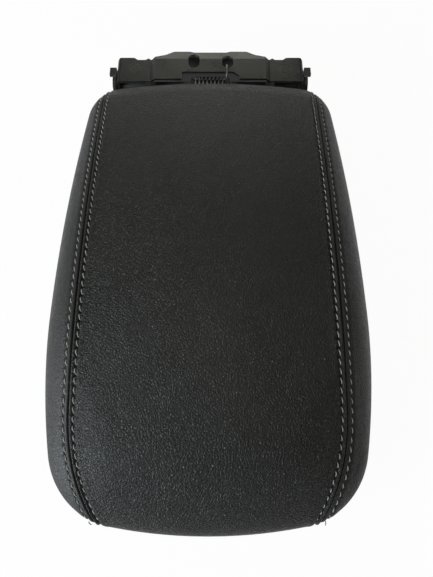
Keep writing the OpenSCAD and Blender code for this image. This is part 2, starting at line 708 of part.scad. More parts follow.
module stop_buffer(s) {
    w = tongue_w + 1.6;
    y0 = tongue_y - 0.4;
    y1 = middle_front - seat * 2;
    color([0.45, 0.45, 0.43]) in_frame() translate([s * stop_x - w / 2, y0, tongue_top - 7])
        difference() {
            cube([w, y1 - y0, 7]);
            translate([(w - tongue_w) / 2 - seat, 0.4 - seat, -1])
                cube([tongue_w + 2 * seat, arm_t + 2 * seat, 7 - 1.4 + 1 + seat]);
        }
}

module stop_buffer_left() {
    stop_buffer(-1);
}

module stop_buffer_right() {
    stop_buffer(1);
}

// Hinge pin with a flat head on the left, and a groove with a clip inside the right ear
bush_in = ear_out + ear_play;
head_t = 0.8;
pin_end = arm_out + 0.2;
groove_w = 1.1;
groove_x = ear_out - bracket_t - groove_w - 0.1;
groove_d = pin_d - 1.6;

module along_x(x0, x1, d, sides) {
    translate([x0, axis_y, axis_z]) rotate([0, 90, 0]) cylinder(h = x1 - x0, d = d, $fn = sides);
}

module hinge_pin() {
    color(zinc) in_frame() difference() {
        union() {
            along_x(-arm_out - 0.1, pin_end, pin_d, 48);
            along_x(-arm_out - 0.1 - head_t, -arm_out - 0.1, pin_d + 3, 48);
        }
        difference() {
            along_x(groove_x, groove_x + groove_w, pin_d + 2, 48);
            along_x(groove_x - 1, groove_x + groove_w + 1, groove_d, 48);
        }
    }
}

module pin_clip() {
    color(steel_black) in_frame() difference() {
        along_x(groove_x + seat, groove_x + groove_w - seat, pin_d + 5, 48);
        along_x(groove_x - 1, groove_x + groove_w + 1, groove_d + 2 * seat, 48);
        translate([groove_x - 1, axis_y - groove_d / 2 + 0.2, axis_z - pin_d - 3])
            cube([groove_w + 2, groove_d - 0.4, pin_d + 3]);
    }
}

module bush(s) {
    color([0.85, 0.84, 0.80]) in_frame() mirror([s < 0 ? 1 : 0, 0, 0]) difference() {
        union() {
            along_x(bush_in, arm_out, bush_d, 48);
            along_x(bush_in, bush_in + bush_flange - seat, bush_d + 3, 48);
        }
        along_x(bush_in - 1, arm_out + 1, pin_d + 2 * pin_fit, 48);
    }
}

module bush_left() {
    bush(-1);
}

module bush_right() {
    bush(1);
}

// Spool that keeps the spring central on the pin, between two thin flanges
coil_half = coil_turns * coil_pitch / 2;
spool_in = coil_half + wire_d / 2 + 0.5;

module spring_spool() {
    color(plastic) in_frame() difference() {
        union() {
            along_x(-spool_in, spool_in, coil_id - 0.8, 48);
            along_x(-spool_in - 1.4, -spool_in, coil_id + 1.4, 48);
            along_x(spool_in, spool_in + 1.4, coil_id + 1.4, 48);
        }
        along_x(-spool_in - 3, spool_in + 3, pin_d + 2 * seat, 48);
    }
}

// Torsion spring: the lower leg runs forward into the carrier, the upper leg hooks
// over the web into the bracket's right-hand hole
coil_r = (coil_id + wire_d) / 2;
leg_z = under_z - 1.3;
anchor_low = leg_z - 2.2;
middle_top = axis_z + pad_rise + joggle_h;
slot_y0 = middle_front + cutout_d + 3.6;
slot_l = 13.4;
coil_y = axis_y - coil_r;
module torsion_spring() {
    x1 = coil_half + 0.6;
    path = concat([[-coil_half, arm_flange_y + 2, leg_z], [-coil_half, arm_flange_y + 10, leg_z],
        [-coil_half, coil_y - 3.5, leg_z], [-coil_half, coil_y - 1, leg_z + 1],
        [-coil_half, coil_y, leg_z + 3.5]],
        coil_path(-coil_half, axis_y, axis_z, coil_r, coil_pitch, 180, coil_turns, 16),
        [[x1, coil_y + 0.2, axis_z + 5], [x1, coil_y + 1.2, middle_top - 2],
        [x1, coil_y + 2.6, middle_top + 0.7], [x1, coil_y + 4.6, middle_top + wire_d / 2 + seat],
        [x1, slot_y0 - 0.4, middle_top + wire_d / 2 + seat], [x1, slot_y0 + 1.2, middle_top + 0.5],
        [x1, slot_y0 + 1.7, middle_top - 1.2], [x1, slot_y0 + 1.7, middle_top - 4]]);
    color(zinc) in_frame() wire(path, wire_d, 8);
}

// Console bracket: one stamping. Its section along X is joggled and turned down into
// the ears, its plan is trimmed to the stamped outline, and its rear lip is bent down.
pad_top = axis_z + pad_rise;
bend_r = 3;
pad_rear = middle_front + 0.5 + pad_depth;
middle_rear = middle_front + middle_depth;
lip_y = middle_rear - 6.6;
lip_drop = 0.5;
ear_low = axis_z - 6.5;

function bend(c, r, from, to) = [for (k = [0:6]) let (a = from + (to - from) * k / 6)
    c + r * [cos(a), sin(a)]];
function half_section(t) = concat([[joggle_x - joggle_w, middle_top - t],
    [joggle_x - t * 0.35, pad_top - t]],
    bend([ear_out - bend_r, pad_top - bend_r], bend_r - t, 90, 0),
    [[ear_out - t, ear_low]]);
function mirrored(p) = [for (k = [len(p) - 1:-1:0]) [-p[k][0], p[k][1]]];

module bracket_section() {
    upper = half_section(0);
    lower = half_section(bracket_t);
    polygon(concat(upper, [for (k = [len(lower) - 1:-1:0]) lower[k]],
        [for (p = lower) [-p[0], p[1]]], mirrored(upper)));
}

// Stamped rear contour as half widths and distances from the rear of the middle
notch_d = 2.1;
function half_contour() = [[0, middle_rear], [12, middle_rear], [15.6, middle_rear + bump_h],
    [26.6, middle_rear + bump_h], [28.2, middle_rear + 0.6], [33.6, middle_rear - 2.4],
    [joggle_x - 3.2, middle_rear - 4.6],
    [joggle_x - 1, middle_rear - 5.2], [joggle_x + 2, pad_rear - 0.6],
    [joggle_x + 4, pad_rear - notch_d], [joggle_x + 10, pad_rear - notch_d],
    [joggle_x + 12.4, pad_rear - 0.2], [joggle_x + 14, pad_rear], [ear_out - 1.6, pad_rear],
    [ear_out, pad_rear - 1.4], [ear_out + 1, pad_rear - 1.4]];

module bracket_plan(y0) {
    c = half_contour();
    polygon(concat([[ear_out + 1, y0], [-ear_out - 1, y0]],
        [for (k = [len(c) - 1:-1:1]) [-c[k][0], c[k][1]]], c));
}

module ear_trim() {
    rotate([90, 0, 90]) linear_extrude(2 * ear_out + 20, center = true) difference() {
        translate([middle_front - 20, axis_z - 30]) square([80, 30 + pad_rise - bend_r - 1.2]);
        translate([axis_y, axis_z]) circle(6.5, $fn = 64);
        polygon([[axis_y - 6.5, axis_z], [axis_y, axis_z - 6.5], [axis_y + 5.5, axis_z - 3.6],
            [pad_rear - 4, pad_top - bend_r - 3], [pad_rear, pad_top - bend_r],
            [middle_front + 1, pad_top - bend_r]]);
    }
}

module rear_lip() {
    half = joggle_x - joggle_w;
    intersection() {
        translate([-half, 0, 0]) rotate([90, 0, 90]) linear_extrude(2 * half)
            polygon([[lip_y, middle_top], [lip_y + 10, middle_top - lip_drop * 10 / 6.5],
                [lip_y + 10, middle_top - bracket_t - lip_drop * 10 / 6.5],
                [lip_y - 0.3, middle_top - bracket_t]]);
        translate([0, 0, middle_top - 12]) linear_extrude(14) bracket_plan(lip_y - 1);
    }
}

// Rear flange: it leans forward behind the raised middle and hangs straight at its
// sides and behind the pads, low enough to shade the holes and short enough to swing
flange_low = pad_top - flange_h;
flange_foot = axis_y + 16;
lean_x = 29;
module hanging_wall(outer, top) {
    n = len(outer);
    for (s = [0, 1]) mirror([s, 0, 0]) translate([0, 0, flange_low]) linear_extrude(top - flange_low)
        polygon(concat(outer, [for (k = [n - 1:-1:0]) outer[k] - [0, bracket_t]]));
}

module rear_flange() {
    side_y = flange_foot - 1;
    pad_y = pad_rear - notch_d;
    lean_top = middle_top - lip_drop - bracket_t / 2;
    translate([-lean_x, 0, 0]) rotate([90, 0, 90]) linear_extrude(2 * lean_x)
        polygon([[middle_rear - 0.3, lean_top], [middle_rear - 0.3 - bracket_t, lean_top],
            [flange_foot - bracket_t, flange_low], [flange_foot, flange_low]]);
    hanging_wall([[lean_x - 1, side_y + 2.4], [joggle_x - joggle_w, side_y]], lean_top);
    hanging_wall([[joggle_x - joggle_w - 0.5, side_y], [joggle_x + 0.8, side_y],
        [joggle_x + 3.8, pad_y], [ear_out - bracket_t / 2, pad_y]], pad_top - bracket_t / 2);
}

// Cutter for an oblong hole, deep enough for the plate and its sloping lip
module oblong(x, w, l) {
    z0 = middle_top - bracket_t - lip_drop;
    h = bracket_t + lip_drop + 2;
    translate([x, slot_y0 + w / 2, z0]) cylinder(h = h, d = w, $fn = 48);
    translate([x, slot_y0 + l - w / 2, z0]) cylinder(h = h, d = w, $fn = 48);
    translate([x - w / 2, slot_y0 + w / 2, z0]) cube([w, l - w, h]);
}

// Cutter for the cut-out above the spring, with one corner cut off
module cut_out() {
    y1 = middle_front + cutout_d;
    translate([0, 0, middle_top - bracket_t - 1]) linear_extrude(bracket_t + 2)
        polygon([[-cutout_w / 2, middle_front - 5], [cutout_w / 2 + 0.6, middle_front - 5],
            [cutout_w / 2 + 0.6, y1 - 3.6], [cutout_w / 2 - 3.6, y1], [-cutout_w / 2 + 0.8, y1],
            [-cutout_w / 2, y1 - 0.8]]);
}

module console_bracket() {
    color(steel_black) in_frame() difference() {
        union() {
            difference() {
                intersection() {
                    translate([0, middle_front - 5, 0]) rotate([90, 0, 180])
                        linear_extrude(60) bracket_section();
                    translate([0, 0, axis_z - 20]) linear_extrude(60) bracket_plan(middle_front);
                }
                translate([-joggle_x + joggle_w, lip_y, middle_top - 4])
                    cube([2 * (joggle_x - joggle_w), 30, 10]);
                ear_trim();
                for (s = [-1, 1]) translate([s * (joggle_x + 15.5) - 15, middle_front - 1, pad_top - 12])
                    cube([30, 1.5, 14]);
            }
            rear_lip();
            rear_flange();
        }
        along_x(-ear_out - 5, ear_out + 5, pin_d + 2 * seat, 48);
        oblong(-slot_x + 0.4, slot_w, slot_l);
        oblong(slot_x + 0.4, slot_w, slot_l - 1.5);
        cut_out();
        for (s = [-1, 1]) translate([s * stud_x, axis_y + stud_y, pad_top - 0.25]) difference() {
            cylinder(h = 2, d = 8.6, $fn = 48);
            translate([0, 0, -1]) cylinder(h = 4, d = 7.2, $fn = 48);
        }
    }
}

module weld_stud(s) {
    color(zinc) in_frame() translate([s * stud_x, axis_y + stud_y, pad_top - bracket_t - stud_l])
        union() {
            cylinder(h = 1, d1 = stud_d - 1.6, d2 = stud_d, $fn = 48);
            translate([0, 0, 1]) cylinder(h = stud_l - 1, d = stud_d, $fn = 48);
        }
}

module weld_stud_left() {
    weld_stud(-1);
}

module weld_stud_right() {
    weld_stud(1);
}

// Staples that hold the folded leather to the carrier's flange
staple_inset = 9;
staple_l = 8;
module cover_staples() {
    color(zinc) in_frame() for (s = [-1, 1]) for (t = [86:-172 / 13:-86])
        if (abs(t - a_rear) > 3) {
            p = rim(t, staple_inset);
            translate([s * p[0], p[1], wrap_z - 0.5]) rotate([0, 0, s * (t - 90)])
                translate([-staple_l / 2, -0.45, 0]) cube([staple_l, 0.9, 0.45]);
        }
}

cover_centre_panel();
cover_left_panel();
cover_right_panel();
foam_pad();
lid_carrier();
cover_staples();
inner_panel();
inner_panel_screws();
buffer_front_left();
buffer_front_right();
buffer_rear_left();
buffer_rear_right();
latch_bezel();
latch_lever();
latch_pin();
latch_spring();
hinge_arm_left();
hinge_arm_right();
arm_screws();
stop_buffer_left();
stop_buffer_right();
hinge_pin();
pin_clip();
bush_left();
bush_right();
spring_spool();
torsion_spring();
console_bracket();
weld_stud_left();
weld_stud_right();
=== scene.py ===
import math

import bpy
import bmesh
import numpy as np
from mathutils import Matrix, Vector


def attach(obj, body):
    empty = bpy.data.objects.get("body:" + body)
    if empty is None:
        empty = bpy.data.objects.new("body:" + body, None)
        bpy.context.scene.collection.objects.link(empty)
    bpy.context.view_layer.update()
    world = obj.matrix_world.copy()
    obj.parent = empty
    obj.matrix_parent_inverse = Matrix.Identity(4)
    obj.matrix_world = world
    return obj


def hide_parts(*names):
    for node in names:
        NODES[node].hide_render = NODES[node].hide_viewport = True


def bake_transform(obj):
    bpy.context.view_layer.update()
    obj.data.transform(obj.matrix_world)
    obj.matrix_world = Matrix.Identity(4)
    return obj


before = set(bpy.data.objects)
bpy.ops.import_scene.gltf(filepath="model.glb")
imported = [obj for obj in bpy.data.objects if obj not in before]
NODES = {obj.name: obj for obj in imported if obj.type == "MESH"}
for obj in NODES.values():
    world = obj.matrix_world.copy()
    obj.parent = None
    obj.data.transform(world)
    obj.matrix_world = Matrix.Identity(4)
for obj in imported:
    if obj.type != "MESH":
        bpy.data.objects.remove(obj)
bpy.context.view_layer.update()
MM = 0.001

# Shape of the lid
# The outline and crown of the solids, in millimetres, with the lid's centre at y = 0.
# LID_Y takes it to the frame. The leather's front haunches are rounder than the solids'.
LID_Y = -15.3
LID_W = 195.0
LID_L = 298.0
LID_H = 58.0
LID_REAR = LID_L / 2
LID_FRONT = -LID_L / 2
# Height of the widest line, and where along the lid it is widest
EDGE_Z = 26.0
WIDEST_Y = -33.0
# Radii of the outline, from the middle of the rear round to the middle of the front
REAR_R = 900.0
CORNER_R = 26.0
SIDE_R = 1420.0
HAUNCH_R = 370.0
FRONT_CORNER_R = 46.0
FRONT_R = 300.0
# Crown along and across the lid
LONG_R = 750.0
CROSS_R = 560.0
# Width of the rolled edge at the rear, at the sides and at the front
ROLL_REAR = 13.0
ROLL_SIDE = 24.0
ROLL_FRONT = 62.0
# Seam: its distance from the middle at the rear and in front, and the bend to the front edge
SEAM_REAR = 75.6
SEAM_FRONT = 75.5
BEND_R = 114.0
BEND_BACK = 64.0
# Stitch pitch at places along the lid in the frame, and the rows' distance from the seam
PITCH_AT = ((-142, -95, -30, 20, 130), (4.5, 5.2, 4.9, 4.65, 4.35))
MEAN_PITCH = 4.8
STITCH_OFF = 3.0


def meet(a, ra, b, rb):
    d = math.dist(a, b)
    k = (ra * ra - rb * rb + d * d) / (2 * d)
    h = math.sqrt(max(0.0, ra * ra - k * k))
    ex, ey = (b[0] - a[0]) / d, (b[1] - a[1]) / d
    mx, my = a[0] + ex * k, a[1] + ey * k
    return max((mx + ey * h, my - ex * h), (mx - ey * h, my + ex * h))


def heading(a, b):
    return math.atan2(b[1] - a[1], b[0] - a[0])


C_REAR = (0.0, LID_REAR - REAR_R)
C_SIDE = (LID_W / 2 - SIDE_R, WIDEST_Y)
C_HAUNCH = (LID_W / 2 - HAUNCH_R, WIDEST_Y)
C_FRONT = (0.0, LID_FRONT + FRONT_R)
C_RC = meet(C_REAR, REAR_R - CORNER_R, C_SIDE, SIDE_R - CORNER_R)
C_FC = meet(C_FRONT, FRONT_R - FRONT_CORNER_R, C_HAUNCH, HAUNCH_R - FRONT_CORNER_R)
A_REAR, A_SIDE = heading(C_REAR, C_RC), heading(C_SIDE, C_RC)
A_HAUNCH, A_FRONT = heading(C_HAUNCH, C_FC), heading(C_FRONT, C_FC)
ARCS = [(C_REAR, REAR_R, math.pi / 2, A_REAR), (C_RC, CORNER_R, A_REAR, A_SIDE),
        (C_SIDE, SIDE_R, A_SIDE, 0.0), (C_HAUNCH, HAUNCH_R, 0.0, A_HAUNCH),
        (C_FC, FRONT_CORNER_R, A_HAUNCH, A_FRONT), (C_FRONT, FRONT_R, A_FRONT, -math.pi / 2)]


def on_arc(i, t, e=0.0):
    (cx, cy), r = ARCS[i][0], ARCS[i][1] - e
    return cx + r * math.cos(t), cy + r * math.sin(t)


def inside(x, y):
    best = 1000.0
    for (cx, cy), r, t0, t1 in ARCS:
        vx, vy = abs(x) - cx, y - cy
        if t1 - 1e-4 <= math.atan2(vy, vx) <= t0 + 1e-4:
            best = min(best, r - math.hypot(vx, vy))
    return best


def arc_x(i, y, e):
    (cx, cy), r = ARCS[i][0], ARCS[i][1] - e
    return cx + math.sqrt(max(0.0, r * r - (y - cy) ** 2))


def half_width(y, e=0.0):
    for i, edge in enumerate((A_REAR, A_SIDE)):
        if y > on_arc(i, edge, e)[1]:
            return arc_x(i, y, e)
    if y > WIDEST_Y:
        return arc_x(2, y, e)
    for i, edge in ((3, A_HAUNCH), (4, A_FRONT)):
        if y > on_arc(i, edge, e)[1]:
            return arc_x(i, y, e)
    return arc_x(5, y, e)


def edge_y(x, e, rear):
    i, j, t, s = (0, 1, A_REAR, 1) if rear else (5, 4, A_FRONT, -1)
    k = i if abs(x) < on_arc(i, t, e)[0] else j
    (cx, cy), r = ARCS[k][0], ARCS[k][1] - e
    return cy + s * math.sqrt(max(0.0, r * r - (abs(x) - cx) ** 2))


BEND_Y = LID_FRONT + BEND_BACK
SEAM_REAR_Y = edge_y(SEAM_REAR, 0, True)


def seam_x(y):
    if y > BEND_Y:
        return SEAM_FRONT + (SEAM_REAR - SEAM_FRONT) * (y - BEND_Y) / (SEAM_REAR_Y - BEND_Y)
    return SEAM_FRONT - BEND_R + math.sqrt(BEND_R ** 2 - (y - BEND_Y) ** 2)


def seam_front_end():
    lo, hi = LID_FRONT, BEND_Y
    for _ in range(40):
        mid = (lo + hi) / 2
        if edge_y(seam_x(mid), 0, False) > mid:
            lo = mid
        else:
            hi = mid
    return (lo + hi) / 2


SEAM_FRONT_Y = seam_front_end()
SEAM_FRONT_X = seam_x(SEAM_FRONT_Y)
T_REAR = heading(C_RC, (SEAM_REAR, SEAM_REAR_Y))
T_FRONT = heading(C_FC, (SEAM_FRONT_X, SEAM_FRONT_Y))


def top_z(x, y, e=0.0):
    """Height of the leather at a place on the lid, at a depth e below its surface."""
    if y > WIDEST_Y:
        share = ((y - WIDEST_Y) / (LID_REAR - WIDEST_Y)) ** 6
        roll = ROLL_SIDE + (ROLL_REAR - ROLL_SIDE) * share
    else:
        share = ((WIDEST_Y - y) / (WIDEST_Y - LID_FRONT)) ** 1.3
        roll = ROLL_SIDE + (ROLL_FRONT - ROLL_SIDE) * share
    q = min(1.0, max(0.0, 1 - (inside(x, y) - e) / (roll - e)))
    crown = LID_H - y * y / (2 * LONG_R) - x * x / (2 * CROSS_R)
    return EDGE_Z + (crown - e - EDGE_Z) * math.sqrt(max(0.0, 1 - q * q))


# Wall below the widest line as (distance inwards, height), smoothed
WALL_KEYS = [(0.0, 26.0), (0.1, 23.5), (0.8, 20.0), (2.2, 16.4), (4.4, 13.9), (6.5, 13.1),
             (9.0, 13.0), (11.5, 13.0), (14.0, 13.0)]


def catmull(keys, n):
    out = []
    for k in range(len(keys) - 1):
        p0, p1, p2 = keys[max(0, k - 1)], keys[k], keys[k + 1]
        p3 = keys[min(len(keys) - 1, k + 2)]
        for j in range(n):
            t = j / n
            out.append(tuple(0.5 * ((2 * b) + (c - a) * t + (2 * a - 5 * b + 4 * c - d) * t * t
                                    + (3 * b - a - 3 * c + d) * t ** 3)
                             for a, b, c, d in zip(p0, p1, p2, p3)))
    out.append(tuple(keys[-1]))
    return out


WALL = catmull(WALL_KEYS, 3)[1:]


def hump(s, at, width):
    return math.exp(-((s - at) / width) ** 2)


# Shape of the leather beside the seam, as (height, distance from the seam, width).
# The inner side has a ridge, a channel under the stitches and a swell beyond them.
SEWN_REACH = 24.0
GROOVE_DEPTH = 1.5
GROOVE_W = 0.38
HOLE_W = 0.8
INNER_RISES = ((0.62, 1.35, 0.85), (-0.62, STITCH_OFF, 0.62), (0.34, 5.0, 1.5))
INNER_HOLES = ((-0.75, STITCH_OFF + 0.1, 0.62), (-0.34, STITCH_OFF + 1.2, 1.1))
OUTER_RISES = ((0.30, 1.5, 0.9), (-0.36, STITCH_OFF, 0.7), (0.22, 5.0, 1.6))
OUTER_HOLES = ((-0.50, STITCH_OFF, 0.6), (-0.14, STITCH_OFF + 1.2, 1.2))


def sewn(s, count, inner):
    """Rise of the leather at distance s from the seam, after that count of stitches."""
    if s > SEWN_REACH:
        return 0.0
    phase = count % 1.0
    d = min(phase, 1 - phase) * MEAN_PITCH
    hole = math.exp(-(d / HOLE_W) ** 2)
    rises = INNER_RISES if inner else OUTER_RISES
    holes = INNER_HOLES if inner else OUTER_HOLES
    rise = -GROOVE_DEPTH * hump(s, 0, GROOVE_W) + sum(h * hump(s, at, w) for h, at, w in rises)
    return rise + hole * sum(h * hump(s, at, w) for h, at, w in holes)


# Mesh helpers
def link(obj):
    bpy.context.scene.collection.objects.link(obj)
    return obj


def mesh_object(name, verts, faces, mat, smooth=True, merge=0.0):
    mesh = bpy.data.meshes.new(name)
    mesh.from_pydata([(v[0] * MM, (v[1] + LID_Y) * MM, v[2] * MM) for v in verts], [], faces)
    if merge:
        bm = bmesh.new()
        bm.from_mesh(mesh)
        bmesh.ops.remove_doubles(bm, verts=bm.verts, dist=merge)
        bmesh.ops.recalc_face_normals(bm, faces=bm.faces)
        bm.to_mesh(mesh)
        bm.free()
    for p in mesh.polygons:
        p.use_smooth = smooth
    mesh.materials.append(mat)
    return link(bpy.data.objects.new(name, mesh))


def grid_faces(rows, cols):
    return [(r * cols + c, r * cols + c + 1, (r + 1) * cols + c + 1, (r + 1) * cols + c)
            for r in range(rows - 1) for c in range(cols - 1)]


def displace(grid, rise):
    """Moves each point of a grid outwards along its own normal by rise, both as arrays."""
    du = np.gradient(grid, axis=0)
    dv = np.gradient(grid, axis=1)
    n = np.cross(du, dv)
    length = np.linalg.norm(n, axis=2, keepdims=True)
    n = np.where(length > 1e-9, n / np.maximum(length, 1e-9), (0, 0, 1))
    far_below = 200.0
    centre = grid.mean(axis=(0, 1)) - np.array([0, 0, far_below])
    sign = np.sign(np.sum(n * (grid - centre), axis=2, keepdims=True))
    sign[sign == 0] = 1
    return grid + n * sign * rise[:, :, None]


# Materials
def new_mat(name):
    mat = bpy.data.materials.new(name)
    mat.use_nodes = True
    nt = mat.node_tree
    bsdf = nt.nodes["Principled BSDF"]
    coord = nt.nodes.new("ShaderNodeTexCoord").outputs["Object"]
    return mat, nt, bsdf, coord


def noise(nt, vec, scale, detail=3.0, rough=0.55):
    n = nt.nodes.new("ShaderNodeTexNoise")
    n.inputs["Scale"].default_value = scale
    n.inputs["Detail"].default_value = detail
    n.inputs["Roughness"].default_value = rough
    nt.links.new(vec, n.inputs["Vector"])
    return n


def voronoi(nt, vec, scale, feature="F1"):
    v = nt.nodes.new("ShaderNodeTexVoronoi")
    v.feature = feature
    v.inputs["Scale"].default_value = scale
    nt.links.new(vec, v.inputs["Vector"])
    return v


def shade(tone, k):
    """The same colour, k times as bright."""
    return tuple(min(1.0, c * k) for c in tone)


def math_node(nt, op, a, b=None, c=None):
    m = nt.nodes.new("ShaderNodeMath")
    m.operation = op
    for k, value in enumerate((a, b, c)):
        if value is None:
            continue
        if isinstance(value, (int, float)):
            m.inputs[k].default_value = value
        else:
            nt.links.new(value, m.inputs[k])
    return m.outputs[0]


def remap(nt, value, lo, hi, out_lo=0.0, out_hi=1.0, smooth=False):
    m = nt.nodes.new("ShaderNodeMapRange")
    m.interpolation_type = "SMOOTHSTEP" if smooth else "LINEAR"
    for key, number in (("From Min", lo), ("From Max", hi), ("To Min", out_lo), ("To Max", out_hi)):
        m.inputs[key].default_value = number
    nt.links.new(value, m.inputs["Value"])
    return m.outputs["Result"]


def mix_color(nt, fac, a, b):
    m = nt.nodes.new("ShaderNodeMix")
    m.data_type = "RGBA"
    for socket, value in ((m.inputs["Factor"], fac), (m.inputs["A"], a), (m.inputs["B"], b)):
        if isinstance(value, (tuple, list)):
            socket.default_value = (*value[:3], 1.0)
        elif isinstance(value, (int, float)):
            socket.default_value = value
        else:
            nt.links.new(value, socket)
    return m.outputs["Result"]


def bump(nt, height, distance, strength=1.0, normal=None):
    b = nt.nodes.new("ShaderNodeBump")
    b.inputs["Strength"].default_value = strength
    b.inputs["Distance"].default_value = distance
    nt.links.new(height, b.inputs["Height"])
    if normal is not None:
        nt.links.new(normal, b.inputs["Normal"])
    return b.outputs["Normal"]


def warped(nt, coord, scale, amount):
    n = noise(nt, coord, scale, 2.0)
    sub = nt.nodes.new("ShaderNodeVectorMath")
    sub.operation = "SUBTRACT"
    sub.inputs[1].default_value = (0.5, 0.5, 0.5)
    nt.links.new(n.outputs["Color"], sub.inputs[0])
    mul = nt.nodes.new("ShaderNodeVectorMath")
    mul.operation = "SCALE"
    mul.inputs["Scale"].default_value = amount
    nt.links.new(sub.outputs[0], mul.inputs[0])
    add = nt.nodes.new("ShaderNodeVectorMath")
    nt.links.new(coord, add.inputs[0])
    nt.links.new(mul.outputs[0], add.inputs[1])
    return add.outputs[0]


def leather(name, tone, cell, depth, rough, spec, dusty):
    """Pebbled leather: cells with painted shade in the creases between them, pores, slight wear, fine
    dust.
    """
    mat, nt, bsdf, coord = new_mat(name)
    vec = warped(nt, coord, 420.0, 0.0016)
    cells = voronoi(nt, vec, 1.0 / cell, "DISTANCE_TO_EDGE")
    pebble = remap(nt, cells.outputs["Distance"], 0.0, 0.28, smooth=True)
    pores = remap(nt, noise(nt, coord, 2600.0, 2.0).outputs["Fac"], 0.35, 0.7)
    broad = noise(nt, coord, 26.0, 3.0).outputs["Fac"]
    fine = noise(nt, coord, 300.0, 3.0).outputs["Fac"]
    height = math_node(nt, "MULTIPLY_ADD", pores, 0.25, pebble)
    bsdf_normal = bump(nt, height, depth)
    soft = bump(nt, broad, 0.0012, 0.5, bsdf_normal)
    nt.links.new(soft, bsdf.inputs["Normal"])
    colour = mix_color(nt, remap(nt, broad, 0.3, 0.7), shade(tone, 0.72), shade(tone, 1.2))
    # painted shade: the creases between the pebbles are darkened towards 0.45 of the tone
    colour = mix_color(nt, remap(nt, pebble, 0.0, 0.8, 0.55, 0.0), colour, shade(tone, 0.45))
    # fine light specks of dust, most of them near the front right corner
    specks = voronoi(nt, coord, 330.0)
    small = remap(nt, specks.outputs["Distance"], 0.10, 0.16, 1.0, 0.0)
    pick = nt.nodes.new("ShaderNodeSeparateColor")
    nt.links.new(specks.outputs["Color"], pick.inputs[0])
    sep = nt.nodes.new("ShaderNodeSeparateXYZ")
    nt.links.new(coord, sep.inputs[0])
    forward = math_node(nt, "MULTIPLY", sep.outputs["Y"], -1.6)
    toward = math_node(nt, "MULTIPLY_ADD", sep.outputs["X"], 2.2, forward)
    share = remap(nt, toward, 0.0, 0.42, 0.985, 0.985 - dusty)
    chosen = math_node(nt, "GREATER_THAN", pick.outputs[0], share)
    dust = math_node(nt, "MULTIPLY", small, chosen)
    colour = mix_color(nt, math_node(nt, "MULTIPLY", dust, 0.35), colour, (0.30, 0.30, 0.29))
    nt.links.new(colour, bsdf.inputs["Base Color"])
    r = math_node(nt, "ADD", remap(nt, fine, 0.3, 0.7, rough - 0.05, rough + 0.06),
                  remap(nt, pebble, 0.0, 1.0, 0.12, 0.0))
    nt.links.new(r, bsdf.inputs["Roughness"])
    bsdf.inputs["Specular IOR Level"].default_value = spec
    return mat


def painted(name, tone, rough, spec=0.5, peel=0.00008, edge_highlight=0.0):
    """Coated steel: orange peel, slight streaks and dust, and a painted highlight: edges painted a lighter
    grey.
    """
    mat, nt, bsdf, coord = new_mat(name)
    peel_n = noise(nt, coord, 900.0, 2.0).outputs["Fac"]
    broad = noise(nt, coord, 55.0, 4.0, 0.6).outputs["Fac"]
    grit = noise(nt, coord, 3200.0, 2.0).outputs["Fac"]
    colour = mix_color(nt, remap(nt, broad, 0.32, 0.68), shade(tone, 0.8), shade(tone, 1.25))
    colour = mix_color(nt, remap(nt, grit, 0.62, 0.72, 0.0, 0.3), colour, shade(tone, 2.2))
    if edge_highlight:
        # painted highlight: edges found by the bevel normal are painted a lighter grey, patchy with the
        # broad noise
        bevel = nt.nodes.new("ShaderNodeBevel")
        bevel.inputs["Radius"].default_value = 0.0005
        geo = nt.nodes.new("ShaderNodeNewGeometry")
        dot = nt.nodes.new("ShaderNodeVectorMath")
        dot.operation = "DOT_PRODUCT"
        nt.links.new(bevel.outputs[0], dot.inputs[0])
        nt.links.new(geo.outputs["Normal"], dot.inputs[1])
        edge = remap(nt, dot.outputs["Value"], 0.99, 0.86, 0.0, 1.0)
        edge_highlight_mask = math_node(nt, "MULTIPLY", edge, remap(nt, broad, 0.4, 0.6, 0.3, 1.0))
        colour = mix_color(nt, math_node(nt, "MULTIPLY", edge_highlight_mask, edge_highlight), colour, (0.32, 0.32, 0.30))
    nt.links.new(colour, bsdf.inputs["Base Color"])
    nt.links.new(remap(nt, broad, 0.3, 0.7, rough - 0.06, rough + 0.08), bsdf.inputs["Roughness"])
    bsdf.inputs["Specular IOR Level"].default_value = spec
    height = math_node(nt, "MULTIPLY_ADD", grit, 0.2, peel_n)
    nt.links.new(bump(nt, height, peel), bsdf.inputs["Normal"])
    return mat


def bare_metal(name, tone, rough, grain=(1.0, 1.0, 1.0)):
    """Plated or drawn metal: fine lines, blotches of tarnish, slight bump."""
    mat, nt, bsdf, coord = new_mat(name)
    mapping = nt.nodes.new("ShaderNodeMapping")
    mapping.inputs["Scale"].default_value = grain
    nt.links.new(coord, mapping.inputs["Vector"])
    lines = noise(nt, mapping.outputs[0], 1400.0, 3.0).outputs["Fac"]
    blot = noise(nt, coord, 180.0, 4.0).outputs["Fac"]
    colour = mix_color(nt, remap(nt, blot, 0.35, 0.7), tone, shade(tone, 0.62))
    nt.links.new(colour, bsdf.inputs["Base Color"])
    bsdf.inputs["Metallic"].default_value = 1.0
    nt.links.new(remap(nt, lines, 0.3, 0.7, rough - 0.08, rough + 0.1), bsdf.inputs["Roughness"])
    nt.links.new(bump(nt, lines, 0.00003), bsdf.inputs["Normal"])
    return mat


